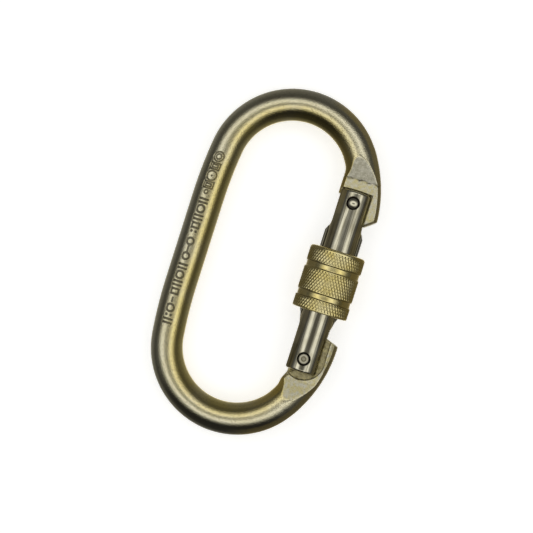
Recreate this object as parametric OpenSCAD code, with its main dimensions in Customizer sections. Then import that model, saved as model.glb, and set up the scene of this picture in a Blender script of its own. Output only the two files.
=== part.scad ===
// Steel oval carabiner with a screw sleeve that locks its gate. Lengths are millimetres.
// The ring is drawn flat in its own plane: spine at -X, gate at +X, nose at +Y, hinge at -Y.
// It is then laid down as it comes to rest, on its spine and its sleeve, so that plane leans a little.

/* [Ring] */
// Length over the two bends
overall_length = 109.2; // [90:0.1:132]
// Width over the spine and the nose, across the ring's own plane
overall_width = 57.2; // [47:0.1:70]
// Diameter of the bent round bar
bar_d = 10; // [8:0.1:12]
// How far the centres of the two bends sit towards the spine
bend_shift = 0.94; // [0.5:0.02:1.4]
// How much the bend radius falls short of the room between its centre and the spine
bend_ease = 0.86; // [0.5:0.02:1.2]
// Radius of the slow curve between the spine and each bend, to the bar's centreline
spine_shoulder_r = 140; // [90:1:200]
// Radius of the curve between each bend and the gate opening, to the bar's centreline
gate_shoulder_r = 37; // [30:0.5:50]

/* [Forged ends] */
// Thickness of the two milled tongues
tongue_t = 6.1; // [5.2:0.1:7.4]
// Thickness of the tongues where they are milled again, to stand between the gate's cheeks
neck_t = 4; // [3.6:0.1:4.8]
// Slope from the round bar down to each tongue, in degrees
ramp_angle = 16.2; // [13:0.1:20]
// Radius of the swelling inside each bend where the bar was forged wider
swell_r = 11.7; // [9:0.1:14.5]

/* [Gate] */
// Diameter of the turned gate
gate_d = 10.6; // [9.2:0.1:12.7]
// How far the two threaded ribs stand out from the gate's sides
rib_rise = 0.75; // [0.5:0.05:1.1]
// Thickness of those ribs
rib_t = 2.6; // [2:0.1:3.6]
// How far the gate's axis lies inside the centreline of the nose bar
gate_inset = 3.7; // [2.8:0.1:4.5]
// Distance from each end of the gate to that end of the ring
gate_end_room = 25.85; // [21.5:0.05:31.1]
// Diameter of the hinge rivet and the latch pin
pin_d = 3.2; // [2.6:0.1:3.9]
// Distance from the gate's nose end to the latch pin
latch_inset = 3.8; // [3.2:0.05:4.6]
// Distance from the gate's hinge end to the rivet
rivet_inset = 4.15; // [3.4:0.05:5]

/* [Gate spring] */
// Diameter of the plunger that the spring pushes against the hinge tongue
plunger_d = 4; // [3.4:0.1:4.8]
// Distance the plunger is pushed back for each radian the gate opens
cam_lift = 2; // [1.6:0.05:2.1]
// Angle that the gate opens, in degrees
gate_open = 28; // [20:1:34]
// Wire diameter of the spring
spring_wire = 0.6; // [0.4:0.05:0.75]

/* [Screw sleeve] */
// Diameter over the knurled bands
sleeve_d = 17.35; // [15:0.05:21]
// Length of the sleeve
sleeve_length = 19.65; // [16:0.05:23.6]
// Depth of the two plain grooves between the knurled bands
groove_depth = 0.33; // [0.2:0.01:0.45]

/* [Hidden] */
$fn = 96;

bar_r = bar_d / 2;
gate_r = gate_d / 2;
thread_r = gate_r + rib_rise;
pin_r = pin_d / 2;
sleeve_r = sleeve_d / 2;
tongue_half = tongue_t / 2;
neck_half = neck_t / 2;
past = 12;

// Centrelines in the plane of the ring.
nose_x = overall_width / 2 - bar_r;
spine_x = -nose_x;
gate_x = nose_x - gate_inset;
gate_length = overall_length - 2 * gate_end_room;
gate_half = gate_length / 2;
latch_y = gate_half - latch_inset;
rivet_y = rivet_inset - gate_half;

// The bends: each end arc runs into a slow shoulder on the spine side and a quicker one on the gate side.
bend_x = -bend_shift;
spine_room = bend_x - spine_x;
nose_room = nose_x - bend_x;
bend_r = spine_room - bend_ease;
bend_y = overall_length / 2 - bar_r - bend_r;
spine_run = sqrt((spine_room - bend_r) * (2 * spine_shoulder_r - bend_r - spine_room));
spine_half = bend_y - spine_run;
spine_turn = atan2(spine_run, spine_shoulder_r - spine_room);
gate_run = sqrt((nose_room - bend_r) * (2 * gate_shoulder_r - bend_r - nose_room));
shoulder_y = bend_y - gate_run;
gate_turn = atan2(gate_run, gate_shoulder_r - nose_room);

// The tongues: how far their inner edge stays inside the gate's side, and where their flats end.
nose_tongue_in = -0.2;
hinge_tongue_in = 0;
swell_under = 0.15;
slim_by = 0.08;
slim_run = 0.3;
nose_flat_y = gate_half + 0.334 * gate_d;
slot_half = neck_half + 0.15;
cheek_half = sqrt(pow(gate_r, 2) - pow(slot_half, 2));
cheek_run = 0.15;
nose_turn_r = norm([cheek_half, gate_length - rivet_inset]) + cheek_run;
hinge_turn_r = norm([cheek_half, rivet_inset]) + cheek_run;
nose_room_x = cheek_half + cheek_run;
hinge_room_x = hinge_turn_r - 0.15;
hinge_flat_y = gate_half - rivet_inset + hinge_turn_r + 0.1;

// The gate's slots, cut with an end mill of the slot's own width, and the bore for spring and plunger.
nose_slot = 0.214 * gate_length;
hinge_slot = 0.274 * gate_length;
end_round = 0.8;
fit_run = 0.05;
fit_seat = 0.02;
plunger_r = min(plunger_d / 2, slot_half - 0.1);
bore_r = plunger_r + fit_run;
bore_floor_y = gate_half - nose_slot - 5.4;
recess_r = pin_r + 0.37;
recess_depth = 0.75;

// The nose hook that catches the latch pin, in distances from that pin.
notch_r = pin_r + 0.35;
lip_top = pin_r + 0.25;
lip_thick = min(4, 0.07 * gate_length);
lip_reach = pin_r + 0.6;
lip_bottom = lip_top + lip_thick;
bevel_x = 0.99 * gate_r;
bevel_angle = 38;
bevel_edge = 0.7;

// The hinge tongue, in distances from the rivet: a flat top, a shoulder that lifts the plunger
// by the same amount for each degree, and the prong beside it.
cam_top = pin_r + 1.9;
cam_steps = 9;
cam_last = gate_open + 4;
tongue_flank = 0.736 * gate_r;
prong_in = plunger_r + 1.6;
prong_top = 0.1325 * gate_length;
prong_slope = 20;
relief_start = rivet_inset + 1.05;
relief_run = 3.2;

// Plunger and spring along the gate.
plunger_gap = 0.03;
plunger_face_y = rivet_y + cam_top + plunger_gap;
slot_floor_y = hinge_slot - gate_half;
plunger_length = slot_floor_y - plunger_face_y + 0.105 * gate_length;
plunger_back_y = plunger_face_y + plunger_length;
spigot_length = 3;
coil_r = bore_r - spring_wire / 2 - 0.35;
spigot_r = min(0.5 * plunger_r, coil_r - spring_wire / 2 - 0.1);
coil_turns = 9;
coil_steps = 18;
wire_sides = 8;

// The sleeve at rest, screwed back, and how far it can run up over the nose.
sleeve_low_y = -sleeve_length / 2 - 0.1;
sleeve_high_y = sleeve_low_y + sleeve_length;
counterbore_r = thread_r + 0.513 * (sleeve_r - thread_r);
thread_length = 0.41 * sleeve_length;
rim_touch_x = sqrt(pow(counterbore_r, 2) - pow(tongue_half, 2));
tip_low_y = latch_y - lip_bottom;
rim_touch_y = tip_low_y + max(0, rim_touch_x - bevel_x) * tan(bevel_angle);
sleeve_travel = rim_touch_y - 0.15 - sleeve_high_y;

// The ribs are at their full height from just below the sleeve to short of the nose slot.
rib_low_y = sleeve_low_y - 0.35;
rib_high_y = gate_half - nose_slot - 1.35;
rib_runout = 2.6;

// Lying on the floor, spine and sleeve both touch it.
lean = asin((sleeve_r - bar_r) / (gate_x - spine_x));
spine_lift = bar_r - spine_x * sin(lean);

echo(lean = lean, spine_lift = spine_lift, gate_x = gate_x, rivet_y = rivet_y, sleeve_travel = sleeve_travel);

module laid() translate([0, 0, spine_lift]) rotate([0, -lean, 0]) children();

module along_y() rotate([-90, 0, 0]) children();

module at_gate() translate([gate_x, 0, 0]) children();

module plate(thick) translate([0, 0, -thick / 2]) linear_extrude(thick) children();

// A stretch of bent bar: centre, centreline radius, first angle and sweep. A slim stretch is a hair
// thinner and runs a little into the stretches beside it, so that their union has clean edges.
module bar_arc(centre, r, from, sweep, d = bar_d, slim = false) {
    more = slim ? slim_run / r * 180 / PI : 0;
    translate([centre[0], centre[1], 0]) rotate([0, 0, from - more])
        rotate_extrude(angle = sweep + 2 * more) translate([r, 0]) circle(d = slim ? d - slim_by : d);
}

module bar_rod(x, from_y, to_y, d = bar_d)
    translate([x, from_y, 0]) along_y() cylinder(d = d, h = to_y - from_y);

// One end of the ring, drawn at the nose side, with the inner swelling that widens it into a tongue.
module bar_end(tongue_in) {
    swell_d = bar_d - 2 * swell_under;
    swell_x = gate_x - gate_r + tongue_in + swell_d / 2;
    swell_centre_x = swell_x - swell_r;
    swell_rise = sqrt(max(0.01, pow(bend_r - swell_r, 2) - pow(swell_centre_x - bend_x, 2)));
    swell_turn = atan2(swell_rise, swell_centre_x - bend_x);
    swell_y = bend_y + swell_rise;

    bar_arc([spine_x + spine_shoulder_r, spine_half], spine_shoulder_r, 180 - spine_turn, spine_turn, slim = true);
    bar_arc([bend_x, bend_y], bend_r, gate_turn, 180 - spine_turn - gate_turn);
    bar_arc([nose_x - gate_shoulder_r, shoulder_y], gate_shoulder_r, 0, gate_turn, slim = true);
    bar_rod(nose_x, shoulder_y - past, shoulder_y);
    bar_arc([swell_centre_x, swell_y], swell_r, 0, swell_turn, swell_d);
    bar_rod(swell_x, shoulder_y - past, swell_y + slim_run, swell_d - slim_by);
}

// Both faces of a tongue: flat up to flat_y, then a ramp out to the round bar.
module tongue_faces(flat_y) {
    ramp_rise = bar_r - tongue_half + 0.6;
    ramp_run = ramp_rise / tan(ramp_angle);
    for (side = [0, 1]) mirror([0, 0, side])
        at_gate() translate([-past, 0, 0]) rotate([90, 0, 90]) linear_extrude(2 * past)
            polygon([
                [0, tongue_half],
                [flat_y, tongue_half],
                [flat_y + ramp_run, tongue_half + ramp_rise],
                [0, tongue_half + ramp_rise],
            ]);
}

// Outline of the hook, about the latch pin.
module hook_outline() difference() {
    union() {
        translate([-lip_reach + lip_thick / 2, -lip_bottom + lip_thick / 2]) circle(d = lip_thick);
        polygon([
            [-lip_reach + lip_thick / 2, -lip_bottom],
            [bevel_x, -lip_bottom],
            [bevel_x + past, -lip_bottom + past * tan(bevel_angle)],
            [bevel_x + past, notch_r],
            [-lip_reach + lip_thick / 2, notch_r],
        ]);
    }
    circle(r = notch_r);
    translate([-past, -lip_top]) square([past, lip_top + notch_r]);
}

// What is cut away round the hook so that the gate's pin can swing out of it.
module hook_room() translate([gate_x, latch_y, 0]) plate(2 * past) difference() {
    translate([-past, -2 * past]) square([2 * past, 2 * past + notch_r]);
    hook_outline();
}

// The broken edges along the bevelled tip of the hook.
module tip_bevels() for (side = [0, 1]) mirror([0, 0, side])
    translate([gate_x + bevel_x, tip_low_y, tongue_half]) rotate([0, 0, bevel_angle]) rotate([45, 0, 0])
        translate([-past, -past, -bevel_edge / sqrt(2)]) cube([2 * past, 2 * past, past]);

// A point of the cam shoulder that touches the plunger when the gate is open by this angle.
function cam_point(angle) =
    let (height = cam_top + cam_lift * angle * PI / 180)
    [
        -height * sin(angle) - cam_lift * cos(angle),
        height * cos(angle) - cam_lift * sin(angle),
    ];

// Outline of the hinge tongue, about the rivet.
module hinge_outline() {
    cam_end = cam_point(cam_last);
    prong_corner_y = prong_top + (bevel_x - prong_in) * tan(prong_slope);
    polygon(concat(
        [[-tongue_flank, -relief_start], [-tongue_flank, min(cam_end[1], cam_top) - 0.8]],
        [for (i = [cam_steps:-1:0]) cam_point(cam_last * i / cam_steps)],
        [
            [prong_in - 0.8, cam_top],
            [prong_in, cam_top + 0.8],
            [prong_in, prong_corner_y],
            [prong_in + past, prong_corner_y - past * tan(prong_slope)],
            [prong_in + past, -relief_start],
        ]
    ));
}

// What is cut away round the hinge tongue, with the relief that runs out below the gate's end.
module hinge_room() translate([gate_x, rivet_y, 0]) {
    plate(2 * past) difference() {
        translate([-past, -relief_start]) square([2 * past, relief_start + 2 * past]);
        hinge_outline();
    }
    plate(2 * past) polygon([
        [-past, -relief_start + 0.01],
        [-tongue_flank, -relief_start + 0.01],
        [hinge_tongue_in - gate_r, -relief_start - relief_run],
        [-past, -relief_start - relief_run],
    ]);
}

// The slanted edges below the rivet, between the tongue's faces and its relieved side.
module relief_edges() for (side = [0, 1]) mirror([0, 0, side])
    translate([gate_x - 0.322 * gate_r, rivet_y - rivet_inset - 0.45, tongue_half]) rotate([0, 0, 45])
        rotate([24, 0, 0]) translate([-past, 0, -0.85 * tongue_half]) cube([past + 0.3, past, past]);

// The second milling, that leaves room for the gate's cheeks as they swing: outlines about the rivet.
module cheek_room() translate([gate_x, rivet_y, 0]) for (side = [0, 1]) mirror([0, 0, side])
    translate([0, 0, neck_half]) linear_extrude(past) {
        intersection() {
            circle(r = nose_turn_r, $fn = 960);
            translate([-past, gate_half]) square([past + nose_room_x, gate_length]);
        }
        circle(r = hinge_turn_r);
        translate([-past, 0]) square([past + hinge_room_x, gate_half - past]);
    }

module body() laid() color("goldenrod") difference() {
    union() {
        bar_rod(spine_x, -spine_half, spine_half);
        bar_end(nose_tongue_in);
        mirror([0, 1, 0]) bar_end(hinge_tongue_in);
    }
    tongue_faces(nose_flat_y);
    mirror([0, 1, 0]) tongue_faces(hinge_flat_y);
    hook_room();
    tip_bevels();
    hinge_room();
    cheek_room();
    relief_edges();
    translate([gate_x, rivet_y, 0]) cylinder(r = pin_r + fit_run, h = 2 * past, center = true);
}

// The ribs along the gate's two sides that carry the screw thread. They run out short of the slots.
module thread_ribs() intersection() {
    cube([2 * past, gate_length, rib_t], center = true);
    along_y() rotate_extrude() polygon([
        [0, rib_low_y - rib_runout],
        [gate_r - 0.2, rib_low_y - rib_runout],
        [gate_r + 0.4 * rib_rise, rib_low_y - 0.4 * rib_runout],
        [thread_r, rib_low_y],
        [thread_r, rib_high_y],
        [gate_r - 0.2, rib_high_y + 0.85 * rib_runout],
        [0, rib_high_y + 0.85 * rib_runout],
    ]);
}

// A slot from the gate's end, as deep as given, with the round floor that an end mill leaves.
module gate_slot(depth) {
    translate([-past, gate_half - depth + slot_half, -slot_half]) cube([2 * past, past + depth, 2 * slot_half]);
    translate([0, gate_half - depth + slot_half, 0]) rotate([0, 90, 0]) cylinder(r = slot_half, h = 2 * past, center = true);
}

// A cross hole through both cheeks with a sunk ring at each face.
module cross_hole(y) translate([0, y, 0]) {
    cylinder(r = pin_r + fit_seat, h = 2 * past, center = true);
    for (side = [0, 1]) mirror([0, 0, side])
        translate([0, 0, gate_r - recess_depth]) cylinder(r = recess_r, h = past);
}

module spring_bore() translate([0, slot_floor_y - slot_half, 0]) along_y() {
    cylinder(r = bore_r, h = bore_floor_y - slot_floor_y + slot_half);
    translate([0, 0, bore_floor_y - slot_floor_y + slot_half]) cylinder(r1 = bore_r, r2 = 0, h = 0.55 * bore_r);
}

module gate() laid() at_gate() color("silver") difference() {
    union() {
        along_y() rotate_extrude() intersection() {
            union() {
                square([2 * (gate_r - end_round), gate_length], center = true);
                square([2 * gate_r, gate_length - 2 * end_round], center = true);
                for (side = [-1, 1])
                    translate([gate_r - end_round, side * (gate_half - end_round)]) circle(r = end_round);
            }
            translate([0, -gate_half]) square([gate_r, gate_length]);
        }
        thread_ribs();
    }
    gate_slot(nose_slot);
    mirror([0, 1, 0]) gate_slot(hinge_slot);
    spring_bore();
    cross_hole(latch_y);
    cross_hole(rivet_y);
}

// The sleeve turned about its own axis, its low end at zero: three bands to knurl and two grooves,
// a thread bore at the low end and a wider bore that goes over the nose.
module lock_sleeve() laid() at_gate() color("gold") translate([0, sleeve_low_y, 0]) along_y() {
    low_band = 0.193 * sleeve_length;
    groove_width = 0.095 * sleeve_length;
    middle_band = 0.362 * sleeve_length;
    nose_round = 0.9;
    low_round = 0.45;
    rotate_extrude() difference() {
        union() {
            square([sleeve_r - nose_round, sleeve_length]);
            translate([0, low_round]) square([sleeve_r, sleeve_length - low_round - nose_round]);
            translate([sleeve_r - low_round, low_round]) circle(r = low_round);
            translate([sleeve_r - nose_round, sleeve_length - nose_round]) circle(r = nose_round);
        }
        for (y = [low_band, low_band + groove_width + middle_band])
            translate([sleeve_r - groove_depth, y]) square([past, groove_width]);
        translate([-past, -past]) square([past + thread_r + fit_run, 2 * past + sleeve_length]);
        translate([0, thread_length]) square([counterbore_r, past + sleeve_length]);
        polygon([
            [0, thread_length - counterbore_r],
            [counterbore_r, thread_length],
            [0, thread_length],
        ]);
    }
}

// The rivet is headed flat, with the mark of the punch in the middle of each head.
module hinge_rivet() laid() translate([gate_x, rivet_y, 0]) color("lightgray") difference() {
    cylinder(r = pin_r, h = 2 * gate_r - 0.2, center = true);
    for (side = [0, 1]) mirror([0, 0, side])
        translate([0, 0, gate_r - 0.45]) cylinder(r1 = 0.3 * pin_r, r2 = 0.62 * pin_r, h = 0.5);
}

// The latch pin is headed round.
module latch_pin() laid() translate([gate_x, latch_y, 0]) color("lightgray") {
    neck_half = gate_r - recess_depth;
    dome_r = 0.86 * pin_r;
    ball_r = 1.9 * dome_r;
    cylinder(r = pin_r, h = 2 * neck_half, center = true);
    intersection() {
        cylinder(r = dome_r, h = 2 * gate_r, center = true);
        union() for (side = [0, 1]) mirror([0, 0, side])
            translate([0, 0, gate_r - 0.02 - ball_r]) sphere(r = ball_r);
    }
}

// Where the spring's wire is after this share of its turns, with one closed turn at each end.
function coil_y(share, low, high) =
    let (closed = 1 / coil_turns)
    share < closed ? low + spring_wire * share / closed
    : share > 1 - closed ? high - spring_wire * (1 - share) / closed
    : low + spring_wire + (high - low - 2 * spring_wire) * (share - closed) / (1 - 2 * closed);

module gate_spring() laid() at_gate() color("silver") {
    low = plunger_back_y + spring_wire / 2 + 0.02;
    high = bore_floor_y - spring_wire / 2 - 0.02;
    count = coil_turns * coil_steps;
    rings = [
        for (i = [0:count])
            let (turn = 360 * i / coil_steps, out = [cos(turn), 0, sin(turn)])
            for (k = [0:wire_sides - 1])
                let (a = 360 * k / wire_sides)
                coil_r * out + [0, coil_y(i / count, low, high), 0]
                    + spring_wire / 2 * (cos(a) * out + [0, sin(a), 0]),
    ];
    skin = [
        for (i = [0:count - 1], k = [0:wire_sides - 1])
            let (a = i * wire_sides + k, b = i * wire_sides + (k + 1) % wire_sides)
            each [[a, b, b + wire_sides], [a, b + wire_sides, a + wire_sides]],
    ];
    first_cap = [[for (k = [wire_sides - 1:-1:0]) k]];
    last_cap = [[for (k = [0:wire_sides - 1]) count * wire_sides + k]];
    polyhedron(rings, concat(skin, first_cap, last_cap), convexity = 10);
}

// A flat-faced plunger with a thin spigot that stands inside the spring.
module spring_plunger() laid() at_gate() color("dimgray") translate([0, plunger_face_y, 0]) along_y() {
    edge = 0.25;
    cylinder(r1 = plunger_r - edge, r2 = plunger_r, h = edge);
    translate([0, 0, edge]) cylinder(r = plunger_r, h = plunger_length - edge);
    translate([0, 0, plunger_length]) cylinder(r = spigot_r, h = spigot_length);
}

body();
gate();
lock_sleeve();
hinge_rivet();
latch_pin();
gate_spring();
spring_plunger();
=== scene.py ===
import bmesh
import bpy
import math
import numpy as np
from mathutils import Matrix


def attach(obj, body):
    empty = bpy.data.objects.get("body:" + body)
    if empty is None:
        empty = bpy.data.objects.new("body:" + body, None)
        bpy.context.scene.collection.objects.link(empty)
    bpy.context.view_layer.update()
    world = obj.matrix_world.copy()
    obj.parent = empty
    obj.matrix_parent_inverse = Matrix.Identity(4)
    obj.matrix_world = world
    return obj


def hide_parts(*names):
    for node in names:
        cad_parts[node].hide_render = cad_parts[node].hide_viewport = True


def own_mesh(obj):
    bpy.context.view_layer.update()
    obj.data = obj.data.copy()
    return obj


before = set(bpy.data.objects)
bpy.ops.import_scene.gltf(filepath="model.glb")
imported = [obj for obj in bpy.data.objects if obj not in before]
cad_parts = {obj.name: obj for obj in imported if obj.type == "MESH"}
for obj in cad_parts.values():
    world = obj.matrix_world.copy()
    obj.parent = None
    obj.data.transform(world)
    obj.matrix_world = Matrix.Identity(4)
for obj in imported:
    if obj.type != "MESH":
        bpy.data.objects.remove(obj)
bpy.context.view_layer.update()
mm = 0.001

# The ring lies on its spine and its sleeve, so its own plane leans a little. Lengths are millimetres
# in that plane: spine at -X, gate at +X, nose at +Y, hinge at -Y.
ring = {
    "barR": 5.0,
    "spineX": -23.6,
    "noseX": 23.6,
    "bendX": -0.94,
    "bendY": 27.8,
    "bendR": 21.8,
    "spineHalf": 13.57,
    "spineShoulderR": 140.0,
    "gateShoulderR": 37.0,
    "shoulderY": 19.09,
    "gateX": 19.9,
    "rivetY": -24.6,
    "latchY": 24.95,
    "pinR": 1.6,
    "gateRise": 3.675,  # how much higher the gate's axis lies than the spine's
    "gateTurn": 34.9,  # where the bend ends on the gate's side, in degrees
    "spineTurn": 173.1,
}
ring["lean"] = math.asin(ring["gateRise"] / (ring["gateX"] - ring["spineX"]))
ring["lift"] = ring["barR"] - ring["spineX"] * ring["gateRise"] / (ring["gateX"] - ring["spineX"])


def turnToWorld(vectors):
    c, s = math.cos(ring["lean"]), math.sin(ring["lean"])
    x, y, z = vectors.T
    return np.stack([x * c - z * s, y, x * s + z * c], 1)


def ringToWorld(points):
    return (turnToWorld(points) + (0, 0, ring["lift"])) * mm


# The shapes below are signed distances in millimetres, negative inside.
far = 1e9  # beyond everything


def smoothMax(a, b, k):
    h = np.maximum(k - np.abs(a - b), 0) / k
    return np.maximum(a, b) + h * h * k / 4


def smoothMin(a, b, k):
    return -smoothMax(-a, -b, k)


def polygonDistance(x, y, corners):
    best = np.full(x.shape, far, np.float32)
    inside = np.zeros(x.shape, bool)
    for (ax, ay), (bx, by) in zip(corners, corners[1:] + corners[:1]):
        ex, ey = bx - ax, by - ay
        t = np.clip(((x - ax) * ex + (y - ay) * ey) / (ex * ex + ey * ey), 0, 1)
        best = np.minimum(best, (x - ax - t * ex) ** 2 + (y - ay - t * ey) ** 2)
        if ey:
            crosses = (ay > y) != (by > y)
            inside ^= crosses & (x < ex * (y - ay) / ey + ax)
    best = np.sqrt(best)
    return np.where(inside, -best, best)


def boxDistance(x, y, low, high):
    dx = np.maximum(low[0] - x, x - high[0])
    dy = np.maximum(low[1] - y, y - high[1])
    outside = np.hypot(np.maximum(dx, 0), np.maximum(dy, 0))
    return outside + np.minimum(np.maximum(dx, dy), 0)


def arcDistance(x, y, centre, r, fromDeg, toDeg):
    dx, dy = x - centre[0], y - centre[1]
    angle = np.degrees(np.arctan2(dy, dx))
    flat = np.hypot(dx, dy) - r
    ends = []
    for a in (fromDeg, toDeg):
        endX = centre[0] + r * math.cos(math.radians(a))
        endY = centre[1] + r * math.sin(math.radians(a))
        ends.append(np.hypot(x - endX, y - endY))
    on = (angle >= fromDeg) & (angle <= toDeg)
    return np.where(on, np.abs(flat), np.minimum(*ends)), flat


def rodDistance(x, y, atX, lowY, highY):
    return np.hypot(x - atX, y - np.clip(y, lowY, highY))


def cellSkin(field, low, high, cell, slab=16):
    # One point in each cell that the surface crosses, and a face round each crossed cell edge.
    # The field is worked out a slab of cells at a time, to save memory.
    counts = [int(math.ceil((h - l) / cell)) + 1 for l, h in zip(low, high)]
    axes = [l + cell * np.arange(n, dtype=np.float32) for l, n in zip(low, counts)]
    values = np.empty(counts, np.float32)
    for i in range(0, counts[0], slab):
        values[i:i + slab] = field(*np.meshgrid(axes[0][i:i + slab], axes[1], axes[2], indexing="ij"))
    inside = values < 0
    corners = [(i, j, k) for i in (0, 1) for j in (0, 1) for k in (0, 1)]
    size = [n - 1 for n in counts]
    full = np.zeros(size, np.int8)
    for i, j, k in corners:
        full += inside[i:i + size[0], j:j + size[1], k:k + size[2]]
    crossed = (full > 0) & (full < 8)
    cells = np.argwhere(crossed)
    index = np.full(size, -1, np.int32)
    index[crossed] = np.arange(len(cells))
    at = np.stack([values[tuple((cells + c).T)] for c in corners], 1)
    total, count = np.zeros((len(cells), 3)), np.zeros(len(cells))
    for a, low3 in enumerate(corners):
        for axis in range(3):
            if low3[axis]:
                continue
            b = a + (4, 2, 1)[axis]
            hit = (at[:, a] < 0) != (at[:, b] < 0)
            point = np.tile(np.array(low3, float), (int(hit.sum()), 1))
            point[:, axis] += at[hit, a] / (at[hit, a] - at[hit, b])
            total[hit] += point
            count[hit] += 1
    points = np.array(low) + cell * (cells + total / count[:, None])
    faces = []
    for axis in range(3):
        u, w = np.eye(3, dtype=int)[(axis + 1) % 3], np.eye(3, dtype=int)[(axis + 2) % 3]
        near, far = [slice(None)] * 3, [slice(None)] * 3
        near[axis], far[axis] = slice(0, -1), slice(1, None)
        edges = np.argwhere(inside[tuple(near)] != inside[tuple(far)])
        quad = np.stack([index[tuple(e.T)] for e in (edges, edges - u, edges - u - w, edges - w)], 1)
        leaving = inside[tuple(edges.T)]
        quad[~leaving] = quad[~leaving][:, ::-1]
        faces.append(quad)
    return points, np.concatenate(faces)


def slope(field, points, step=0.01):
    columns = []
    for axis in range(3):
        move = np.zeros(3)
        move[axis] = step
        columns.append((field(*(points + move).T) - field(*(points - move).T)) / (2 * step))
    return np.stack(columns, 1)


def settle(field, points, reach, passes=4, leastSlope=0.05):
    # Moves points onto the surface, each step no longer than the reach.
    for _ in range(passes):
        g = slope(field, points)
        step = field(*points.T)[:, None] * g / np.maximum((g * g).sum(1), leastSlope)[:, None]
        length = np.linalg.norm(step, axis=1)[:, None]
        points = points - step * np.minimum(1, reach / np.maximum(length, 1e-9))
    return points


def places(mesh):
    flat = np.empty(len(mesh.vertices) * 3, np.float32)
    mesh.vertices.foreach_get("co", flat)
    return flat.reshape(-1, 3).astype(float)


def meshFrom(name, points, faces):
    mesh = bpy.data.meshes.new(name)
    mesh.from_pydata(points.tolist(), [], faces.tolist())
    mesh.polygons.foreach_set("use_smooth", np.ones(len(mesh.polygons), bool))
    mesh.update()
    return mesh


def addObject(name, data):
    made = bpy.data.objects.new(name, data)
    bpy.context.scene.collection.objects.link(made)
    return made


def piece(name, mesh, body, slot, *nodes):
    made = addObject(name, mesh)
    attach(made, body)
    if nodes:
        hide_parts(*nodes)
    return made


skin = {
    "markCuts": 2,
    "markReach": 0.12,
    "merge": 0.003,  # points nearer than this become one
}


def skinPiece(name, field, low, high, cell, keep, body, slot, node, fine=None, fineField=None):
    # Meshes a field, thins the mesh, sets every point back on the surface and takes its normals from it.
    # The faces that fine picks are split smaller, for a finer field with small marks in it.
    points, faces = cellSkin(field, low, high, cell)
    points = settle(field, points, cell / 2)
    raw = meshFrom(name + "Raw", points, faces)
    if fine:
        field = fineField
        work = bmesh.new()
        work.from_mesh(raw)
        edges = [e for e in work.edges if all(fine(v.co) for v in e.verts)]
        bmesh.ops.subdivide_edges(work, edges=edges, cuts=skin["markCuts"], use_grid_fill=True)
        bmesh.ops.triangulate(work, faces=[f for f in work.faces if len(f.verts) > 4])
        work.to_mesh(raw)
        work.free()
        points = settle(field, places(raw), skin["markReach"])
        raw.vertices.foreach_set("co", points.astype(np.float32).ravel())
    holder = addObject(name + "Raw", raw)
    thin = holder.modifiers.new("thin", "DECIMATE")
    thin.ratio = keep
    graph = bpy.context.evaluated_depsgraph_get()
    mesh = bpy.data.meshes.new_from_object(holder.evaluated_get(graph))
    mesh.name = name
    bpy.data.objects.remove(holder)
    bpy.data.meshes.remove(raw)
    points = settle(field, places(mesh), cell / 3)
    mesh.vertices.foreach_set("co", points.astype(np.float32).ravel())
    work = bmesh.new()
    work.from_mesh(mesh)
    bmesh.ops.remove_doubles(work, verts=work.verts, dist=skin["merge"])
    bmesh.ops.dissolve_degenerate(work, edges=work.edges, dist=skin["merge"])
    work.to_mesh(mesh)
    work.free()
    points = places(mesh)
    normals = slope(field, points)
    normals /= np.maximum(np.linalg.norm(normals, axis=1), 1e-9)[:, None]
    mesh.vertices.foreach_set("co", ringToWorld(points).astype(np.float32).ravel())
    mesh.update()
    mesh.polygons.foreach_set("use_smooth", np.ones(len(mesh.polygons), bool))
    mesh.normals_split_custom_set_from_vertices(turnToWorld(normals).tolist())
    print(name, len(faces), "cells,", len(mesh.polygons), "faces kept")
    return piece(name, mesh, body, slot, node), points


def giveShare(mesh, name, values):
    layer = mesh.attributes.new(name, "FLOAT", "POINT")
    layer.data.foreach_set("value", np.asarray(values, np.float32))


bar = {
    "tongueHalf": 3.05,
    "noseFlatY": 32.29,
    "hingeFlatY": 31.229,
    "rampAngle": 16.2,
    "neckHalf": 2.0,
    "noseTurnR": 53.72,
    "hingeTurnR": 6.529,
    "noseRoomX": 4.994,
    "hingeRoomX": 6.379,
    "swellR": 11.7,
    "swellTubeR": 4.85,
    "noseSwellX": 19.25,
    "hingeSwellX": 19.45,
    "swellBlend": 0.5,
    "stubY": 7.0,  # the bar beside the gate runs in to here, before it is cut off
    "noseRoomY": 28.75,
    "hingeRoomHigh": 16.75,
    "edgeRound": 0.35,
    "rampRound": 0.16,
    "cheekRound": 0.26,
    "camLow": 3.5,
    "camRise": 2.0,  # millimetres for each radian that the gate opens
    "camEnd": 32.0,
    "camSteps": 9,
    "swellFromX": 4.0,
    "facesFromX": 5.0,
    "plainToX": 6.0,  # nothing is milled or cut below this
    "cutsFromX": 7.5,
    "cell": 0.26,
    "keep": 0.42,
}

# The mark a cutter left where the nose's flat meets its ramp, a line that wanders a little.
scuff = {
    "depth": 0.11,
    "width": 0.16,
    "wander": (0.12, 1.9, 0.08, 5.3, 1.0),  # two waves along the line: height and rate, and a start
    "fade": (0.55, 0.45, 1.3, 0.4),
}

# The arcs of the nose half's centreline, from the spine to the gate: centre, radius, where it starts and
# stops in degrees, and how many points ringLoop takes on it. The hinge half mirrors it.
ringArcs = [
    ((ring["spineX"] + ring["spineShoulderR"], ring["spineHalf"]), ring["spineShoulderR"],
     ring["spineTurn"], 180, 6),
    ((ring["bendX"], ring["bendY"]), ring["bendR"], ring["gateTurn"], ring["spineTurn"], 40),
    ((ring["noseX"] - ring["gateShoulderR"], ring["shoulderY"]), ring["gateShoulderR"],
     0, ring["gateTurn"], 8),
]


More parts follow.
